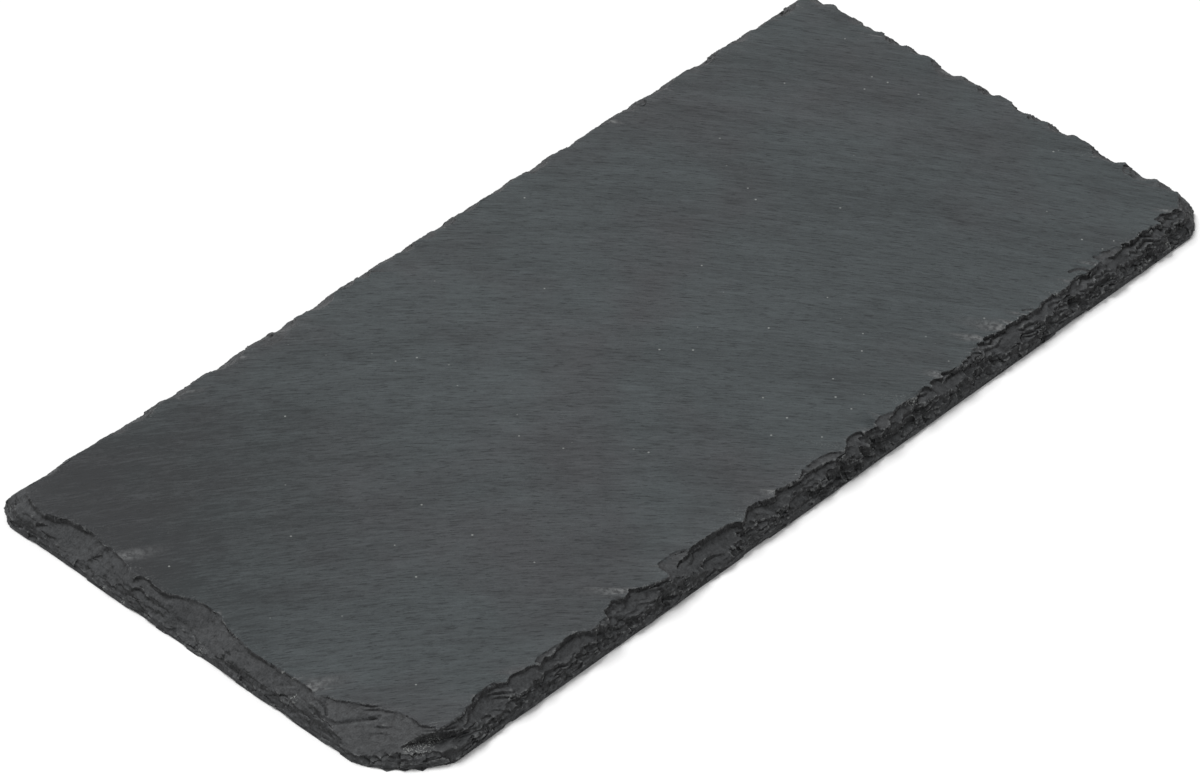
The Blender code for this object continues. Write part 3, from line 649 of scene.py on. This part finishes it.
# In places the floors too step down from leaf to leaf, with edges drawn out along the lineation.
edge_lines = along_lines(edge)[0]
terrace_height = edge[:, 2] + sum(
    height * MM * swell(edge_lines, (length * MM, width * MM, 1.0), 80 + octave)
    for octave, (length, width, height) in enumerate(TERRACE_RAGGED))
terrace_tops = np.cumsum(rng.uniform(*TERRACE_THICKNESS, TERRACE_COUNT)) - 2.0 * MM
terrace = np.clip(np.searchsorted(terrace_tops, terrace_height), 1, len(terrace_tops) - 1)
thickness = terrace_tops[terrace] - terrace_tops[terrace - 1]
share = (terrace_height - terrace_tops[terrace - 1]) / thickness
patches = RAGGED_END_GAIN * ramp(edge[:, 0], *RAGGED_END)
patches += PATCH_SWAY * swell(edge, (6 * MM, 6 * MM, 6 * MM), 13)
patches = np.clip(patches, 0.0, 0.95) * (1 - steep) * (1 - 0.75 * left_side)
moved[:, 2] += (ramp(share, *TERRACE_EDGE) - share) * thickness * patches
points[struck] += moved * ramp(edge[:, 2], *TAPER)[:, None]

# Cracks and gashes that don't follow a scar's line, drawn one by one: width, depth and route in
# millimetres from the slab's middle.
GASHES = (
    (0.55, 0.45, ((100.6, -64.1), (102.4, -64.6), (103.9, -65.9), (104.3, -67.6))),
    (0.40, 0.30, ((80.0, -65.5), (81.2, -66.4), (82.0, -67.2))),
    (0.40, 0.30, ((-51.5, -64.6), (-49.8, -65.0), (-47.5, -66.0))),
    (0.50, 0.40, ((-148.4, -40.5), (-147.9, -44.0), (-147.3, -46.2), (-143.6, -49.8),
                  (-139.4, -53.3))),
    (0.45, 0.35, ((-146.4, -38.0), (-145.9, -41.6), (-147.0, -43.2))),
)
GASH_FLOOR = 1.0 * MM         # none of them cuts the stone below this height
for width, depth, route in GASHES:
    route = np.array(route) * MM
    box_low, box_high = route.min(axis=0) - width * MM, route.max(axis=0) + width * MM
    near = np.flatnonzero(np.all((points[:, :2] > box_low) & (points[:, :2] < box_high), axis=1)
                          & (points[:, 2] > GASH_FLOOR))
    away = np.full(len(near), 1.0)
    for start, end in zip(route, route[1:]):
        run = end - start
        share = np.clip((points[near, :2] - start) @ run / (run @ run), 0, 1)
        beside_run = points[near, :2] - start - share[:, None] * run
        away = np.minimum(away, np.linalg.norm(beside_run, axis=1))
    points[near, 2] -= depth * MM * np.clip(1 - (away / (width * MM)) ** 2, 0, 1)

# The broad faces keep a low relief of long shallow ridges that follow the stone's lineation.
RELIEF = 0.14 * MM


def riven(points, seed):
    """The relief of a split face from 0, its highest, to 1."""
    lines = along_lines(points)[0]
    broad = swell(lines, (70 * MM, 11 * MM, 1), seed)
    middle = swell(lines, (40 * MM, 5 * MM, 1), seed + 1)
    return np.clip(0.5 + 0.4 * broad + 0.3 * middle, 0, 1)


points[on_top, 2] -= RELIEF * riven(points[on_top], 60)
points[on_underside, 2] += RELIEF * riven(points[on_underside], 70)
points = np.clip(points, low_corner, high_corner)
write_points(points)

# The mesh is thinned where the stone is smooth and kept fine where it is ragged.
MOST_TRIANGLES = 194000
SHADE_ANGLE = math.radians(35)
select("VERT", struck | ((on_top | on_underside) & ~within(points, EDGE_REACH)))
bpy.ops.mesh.select_mode(type="FACE")
bpy.ops.object.mode_set(mode="OBJECT")
triangles = sum(len(face.vertices) - 2 for face in slab.data.polygons)
chosen = sum(len(face.vertices) - 2 for face in slab.data.polygons if face.select)
keep = 1 - (triangles - MOST_TRIANGLES) / chosen
bpy.ops.object.mode_set(mode="EDIT")
bpy.ops.mesh.decimate(ratio=keep)
bpy.ops.mesh.select_all(action="SELECT")
bpy.ops.mesh.quads_convert_to_tris()
bpy.ops.object.mode_set(mode="OBJECT")
bpy.ops.object.shade_smooth_by_angle(angle=SHADE_ANGLE)
points = np.clip(read_points(), low_corner, high_corner)
write_points(points)

# What the finish reads from the mesh: each point's place along and across the lineation, where
# the stone is broken and not split, how sharply it stands out or in (for pale arrises that are
# partly painted highlight, and painted shade in hollows), where the rim is near, where a wall cuts
# across the leaves (for painted shade), and where crushed stone has left it pale.
# How far in from the rim its pale reaches, partly wear and partly painted highlight
RIM_WEAR_AND_HIGHLIGHT = 1.8 * MM
SHARP = 0.35                  # how far a point stands out of its neighbours, per edge length
OWN_STANDING = 0.6            # the rest comes from its neighbours, which evens it out
# How steep a wall must be to get painted shade in its colour, and where that shade eases off
# towards its foot
WALL = (0.80, 0.42)           # upright share of a normal where a wall begins and is full
WALL_FOOT = (1.2 * MM, 3.2 * MM)          # towards the foot of a wall the leaves show less
CRUSHED_DRAWN = (0.6, 1.5, 0.0)           # pale places are drawn out along the lineation

# Pale crushed places: three coordinates and a radius in millimetres
PALE_PLACES = (
    (33.5, -68.6, 6.6, 2.2), (-139.0, -65.4, 3.4, 3.2), (-134.5, -66.0, 3.6, 2.2),
    (-130.4, -66.4, 7.3, 0.8), (-111.0, -66.9, 7.2, 0.7), (-30.0, -66.4, 7.5, 2.8),
    (-22.5, -64.6, 7.5, 2.2), (-17.5, -66.8, 7.4, 1.5), (-82.5, -69.6, 6.2, 1.4),
    (-87.5, -66.0, 7.5, 1.8), (6.0, -64.8, 7.5, 3.0), (120.5, -72.6, 1.8, 1.3),
    (124.0, -72.5, 2.4, 1.3), (132.0, -72.4, 2.6, 1.6), (-147.6, 60.5, 6.0, 0.7),
    (-150.0, 24.5, 1.0, 1.2), (-150.0, 31.5, 1.2, 1.1), (-144.4, 26.0, 7.5, 1.2),
    (-144.5, -30.0, 7.5, 1.0), (-145.0, -26.5, 7.5, 0.9), (-144.6, -9.0, 7.5, 1.2),
    (-150.0, -2.0, 1.5, 1.6), (-147.5, -33.0, 4.2, 1.6), (91.0, -66.0, 7.5, 2.0),
)

corners = np.empty(len(slab.data.loops), dtype=np.int32)
slab.data.loops.foreach_get("vertex_index", corners)
grain = slab.data.uv_layers.new(name="grain")
grain.uv.foreach_set("vector", along_lines(points)[0][corners, :2].astype(np.float32).ravel())


def add_reading(name, values):
    attribute = slab.data.attributes.new(name, "FLOAT", "POINT")
    attribute.data.foreach_set("value", values.astype(np.float32))


def drawn(points):
    """Places in which a round mark comes out longer along the lineation than across it."""
    return along_lines(points)[0] * CRUSHED_DRAWN + points * (0.0, 0.0, 1.0)


normals = read_points("normal")
ends = read_ends()
ends = np.concatenate((ends, ends[:, ::-1]))
run = points[ends[:, 1]] - points[ends[:, 0]]
span = np.linalg.norm(run, axis=1)
rise = np.sum(run * normals[ends[:, 0]], axis=1)
standing = -np.bincount(ends[:, 0], rise) / np.bincount(ends[:, 0], span)
beside = np.bincount(ends[:, 0], standing[ends[:, 1]]) / np.bincount(ends[:, 0])
standing = OWN_STANDING * standing + (1 - OWN_STANDING) * beside
on_top, on_underside, struck = parts_of_slab(points, normals)
on_top |= (points[:, 2] > top_height - SKIN - RELIEF) & (normals[:, 2] > LEVEL)
on_underside |= (points[:, 2] < SKIN + RELIEF) & (normals[:, 2] < -LEVEL)
struck = ~(on_top | on_underside)
rim_distance = distance_to_rim(points, on_top & ~within(points, EDGE_REACH), struck)
add_reading("broken", struck.astype(float))
add_reading("arris", np.clip(standing / SHARP, 0, 1))
add_reading("painted_hollow_shade", np.clip(-standing / SHARP, 0, 1))
add_reading("rim", np.where(on_top, np.clip(1 - rim_distance / RIM_WEAR_AND_HIGHLIGHT, 0, 1), 0))
# Painted shade: steep walls that cut across the leaves are darkened in the colour, less towards
# their foot
wall_shade_weight = ramp(normals[:, 2], *WALL) * (0.2 + 0.8 * ramp(points[:, 2], *WALL_FOOT))
add_reading("painted_wall_shade", np.where(struck, wall_shade_weight, 0.0))
crushed = np.zeros(len(points))
drawn_places = drawn(points)
for *middle, radius in PALE_PLACES:
    away = np.linalg.norm(drawn_places - drawn(np.array((middle,)) * MM), axis=1)
    crushed = np.maximum(crushed, np.clip(1 - away / (radius * MM), 0, 1))
add_reading("crushed", crushed)

# The finish: dry slate, dark grey with a faint green cast. Fine dark dashes and broad soft bands
# run along the lineation of the split faces; broken stone is darker and duller, with pale arrises
# that are partly chipped stone and partly painted highlight.
SPLIT_DARK = (0.0152, 0.0175, 0.0189, 1.0)
SPLIT_LIGHT = (0.0522, 0.0582, 0.0616, 1.0)
SPLIT_GREEN = (0.985, 1.085, 1.085, 1.0)
SPLIT_WARM = (1.0, 0.965, 0.985, 1.0)
BROKEN_DARK = (0.0110, 0.0115, 0.0122, 1.0)
BROKEN_LIGHT = (0.0660, 0.0695, 0.0730, 1.0)
# The pale of chipped arrises and of the top's rim, partly painted highlight
PALE_ARRIS_AND_HIGHLIGHT = (0.17, 0.175, 0.175, 1.0)
SPECK_PALE = (0.30, 0.31, 0.30, 1.0)

slate = bpy.data.materials.new("slate")
slate.use_nodes = True
tree = slate.node_tree
shader = tree.nodes["Principled BSDF"]
shader.inputs["Specular IOR Level"].default_value = 0.35


def add_node(kind, sockets, **settings):
    """A node with its settings, whose sockets are given numbers or other nodes' outputs."""
    node = tree.nodes.new(kind)
    for name, value in settings.items():
        setattr(node, name, value)
    for socket, value in sockets.items():
        if isinstance(value, bpy.types.NodeSocket):
            tree.links.new(value, node.inputs[socket])
        else:
            node.inputs[socket].default_value = value
    return node


def sums(operation, first, second=0.0, third=0.0):
    sockets = {0: first, 1: second, 2: third}
    return add_node("ShaderNodeMath", sockets, operation=operation).outputs[0]


def levels(value, low, high, to_low=0.0, to_high=1.0):
    """A value's place between low and high, held within them and given a new range."""
    sockets = {"Value": value, "From Min": low, "From Max": high,
               "To Min": to_low, "To Max": to_high}
    return add_node("ShaderNodeMapRange", sockets, clamp=True).outputs["Result"]


def swayed(value, noise, amount):
    """A value that a noise moves up and down by an amount."""
    return sums("MULTIPLY_ADD", sums("SUBTRACT", noise, 0.5), amount, value)


def blended(share, first, second, blend="MIX"):
    sockets = {0: share, 6: first, 7: second}
    return add_node("ShaderNodeMix", sockets, data_type="RGBA", blend_type=blend).outputs[2]


lineation = add_node("ShaderNodeUVMap", {}, uv_map="grain").outputs["UV"]
in_stone = add_node("ShaderNodeTexCoord", {}).outputs["Object"]


def streaks(along, across, seed, detail=3.0):
    """Noise drawn out along the lineation; its marks are as long and as wide as given."""
    scaled = add_node("ShaderNodeMapping", {
        "Vector": lineation, "Scale": (1 / along, 1 / across, 1.0),
        "Location": (seed * 3.7, seed * 1.9, seed)})
    return add_node("ShaderNodeTexNoise", {
        "Vector": scaled.outputs[0], "Scale": 1.0, "Detail": detail, "Roughness": 0.6,
        "Distortion": 0.5}).outputs["Fac"]


def mottle(size, detail=2.0, rough=0.5):
    """Noise with no direction, its marks as wide as given."""
    return add_node("ShaderNodeTexNoise", {"Vector": in_stone, "Scale": 1 / size, "Detail": detail,
                                           "Roughness": rough}).outputs["Fac"]


def reading(name):
    return add_node("ShaderNodeAttribute", {}, attribute_name=name).outputs["Fac"]


broad_bands = streaks(90 * MM, 14 * MM, 1)
soft_bands = streaks(24 * MM, 3.0 * MM, 2)
fine_lines = streaks(6 * MM, 0.65 * MM, 3, 4.0)
dash_lines = streaks(3.6 * MM, 0.42 * MM, 4, 2.0)
patches = mottle(55 * MM, 3.0)
clouds = mottle(16 * MM, 3.0)
dust = mottle(0.45 * MM, 2.0)
crumbs = mottle(1.3 * MM, 4.0, 0.65)
salt = mottle(0.42 * MM, 2.0, 0.6)

# The tone of the split faces, from dark at 0 to light at 1
tone = 0.5
for noise, amount in ((broad_bands, 0.55), (soft_bands, 0.6), (fine_lines, 1.15), (clouds, 0.30),
                      (dust, 0.45)):
    tone = swayed(tone, noise, amount)
dashes = levels(dash_lines, 0.57, 0.68)
tone = sums("MULTIPLY_ADD", dashes, -0.5, tone)

# The left-hand end is dimmer towards the back.
stone_place = add_node("ShaderNodeSeparateXYZ", {"Vector": in_stone})
dim_end = sums("MULTIPLY", levels(stone_place.outputs["X"], -50 * MM, -150 * MM),
               levels(stone_place.outputs["Y"], -40 * MM, 30 * MM))
tone = sums("MULTIPLY_ADD", dim_end, -0.55, tone)
split_stone = blended(tone, SPLIT_DARK, SPLIT_LIGHT)
greener = sums("MULTIPLY_ADD", dim_end, -0.14, sums("MULTIPLY_ADD", clouds, 0.35, patches))
cast = blended(levels(greener, 0.50, 0.72), SPLIT_WARM, SPLIT_GREEN)
split_stone = blended(1.0, split_stone, cast, "MULTIPLY")

# The rim of the top face is pale here and there, partly wear and partly painted highlight, and a
# few pale specks lie in the stone.
# Pale rim: partly wear, partly painted highlight
worn_and_highlit = sums("MULTIPLY", sums("POWER", reading("rim"), 2.0), levels(salt, 0.54, 0.66))
split_stone = blended(sums("MULTIPLY", worn_and_highlit, 0.30), split_stone, PALE_ARRIS_AND_HIGHLIGHT)
scatter = add_node("ShaderNodeTexVoronoi", {"Vector": in_stone, "Scale": 1 / (5.5 * MM)})
speck = sums("MULTIPLY", levels(scatter.outputs["Distance"], 0.065, 0.035),
             levels(mottle(20 * MM), 0.47, 0.56))
split_stone = blended(sums("MULTIPLY", speck, 0.6), split_stone, SPECK_PALE)

# Broken stone: crumbly, with painted shade in hollows and on the walls that cut across the leaves,
# and pale on arrises, partly chipped and partly painted highlight, and where crushed
broken_tone = swayed(swayed(0.5, crumbs, 1.1), dust, 0.9)
# Painted shade: the hollows of the broken stone are darkened in its colour
broken_tone = sums("MULTIPLY_ADD", reading("painted_hollow_shade"), -0.8, broken_tone)
# Painted shade on the steep walls
broken_tone = sums("MULTIPLY_ADD", reading("painted_wall_shade"), -0.42, broken_tone)
broken_stone = blended(broken_tone, BROKEN_DARK, BROKEN_LIGHT)
# Pale arrises: partly chipped stone, partly painted highlight on the convex edges
chipped_and_highlit = sums("MULTIPLY", levels(reading("arris"), 0.2, 0.75), levels(crumbs, 0.42, 0.60))
broken_stone = blended(sums("MULTIPLY", chipped_and_highlit, 0.7), broken_stone, PALE_ARRIS_AND_HIGHLIGHT)
bruise = sums("MULTIPLY", levels(reading("crushed"), 0.0, 0.5), levels(salt, 0.54, 0.62))
broken_stone = blended(sums("MULTIPLY", bruise, 0.75), broken_stone, SPECK_PALE)
split_stone = blended(sums("MULTIPLY", bruise, 0.10), split_stone, SPECK_PALE)
tree.links.new(blended(reading("broken"), split_stone, broken_stone), shader.inputs["Base Color"])
tree.links.new(levels(tone, 0.0, 1.0, 0.72, 0.58), shader.inputs["Roughness"])

# The finest relief, too small for the mesh
split_height = sums("MULTIPLY_ADD", fine_lines, 0.9, sums("MULTIPLY", soft_bands, 1.2))
split_height = sums("MULTIPLY_ADD", dust, 0.22, split_height)
split_height = sums("MULTIPLY_ADD", dashes, -0.35, split_height)
broken_height = sums("MULTIPLY_ADD", crumbs, 1.6, sums("MULTIPLY", dust, 0.8))
height = add_node("ShaderNodeMix", {0: reading("broken"), 2: split_height, 3: broken_height},
                  data_type="FLOAT").outputs[0]
relief = add_node("ShaderNodeBump", {"Height": height, "Strength": 1.0, "Distance": 0.11 * MM})
tree.links.new(relief.outputs["Normal"], shader.inputs["Normal"])
slab.data.materials.clear()
slab.data.materials.append(slate)

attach(slab, "root")
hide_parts("slate_slab")


# The studio: a pale table, soft white light from all around, and a broad key light from above
# and behind.
TABLE_SIZE = 12.0
TABLE_PALE = (0.90, 0.90, 0.90, 1.0)
KEY_DIRECTION = Vector((0.05, 0.66, 1.0))
KEY_ENERGY = 2.5
KEY_SPREAD = math.radians(30)
SOFT_LIGHT = 0.55

bpy.ops.object.select_all(action="DESELECT")
bpy.ops.mesh.primitive_plane_add(size=TABLE_SIZE, location=(0.0, 0.0, 0.0))
table = bpy.context.object
table.name = "pale_table"
pale = bpy.data.materials.new("pale_table")
pale.use_nodes = True
table_shader = pale.node_tree.nodes["Principled BSDF"]
table_shader.inputs["Base Color"].default_value = TABLE_PALE
table_shader.inputs["Roughness"].default_value = 0.9
table.data.materials.append(pale)

bpy.ops.object.light_add(type="SUN", rotation=KEY_DIRECTION.to_track_quat("Z", "Y").to_euler())
key = bpy.context.object
key.name = "key_light"
key.data.energy = KEY_ENERGY
key.data.angle = KEY_SPREAD

world = bpy.data.worlds.new("studio")
world.use_nodes = True
world.node_tree.nodes["Background"].inputs["Color"].default_value = (1.0, 1.0, 1.0, 1.0)
world.node_tree.nodes["Background"].inputs["Strength"].default_value = SOFT_LIGHT
bpy.context.scene.world = world
bpy.context.scene.view_settings.view_transform = "Standard"
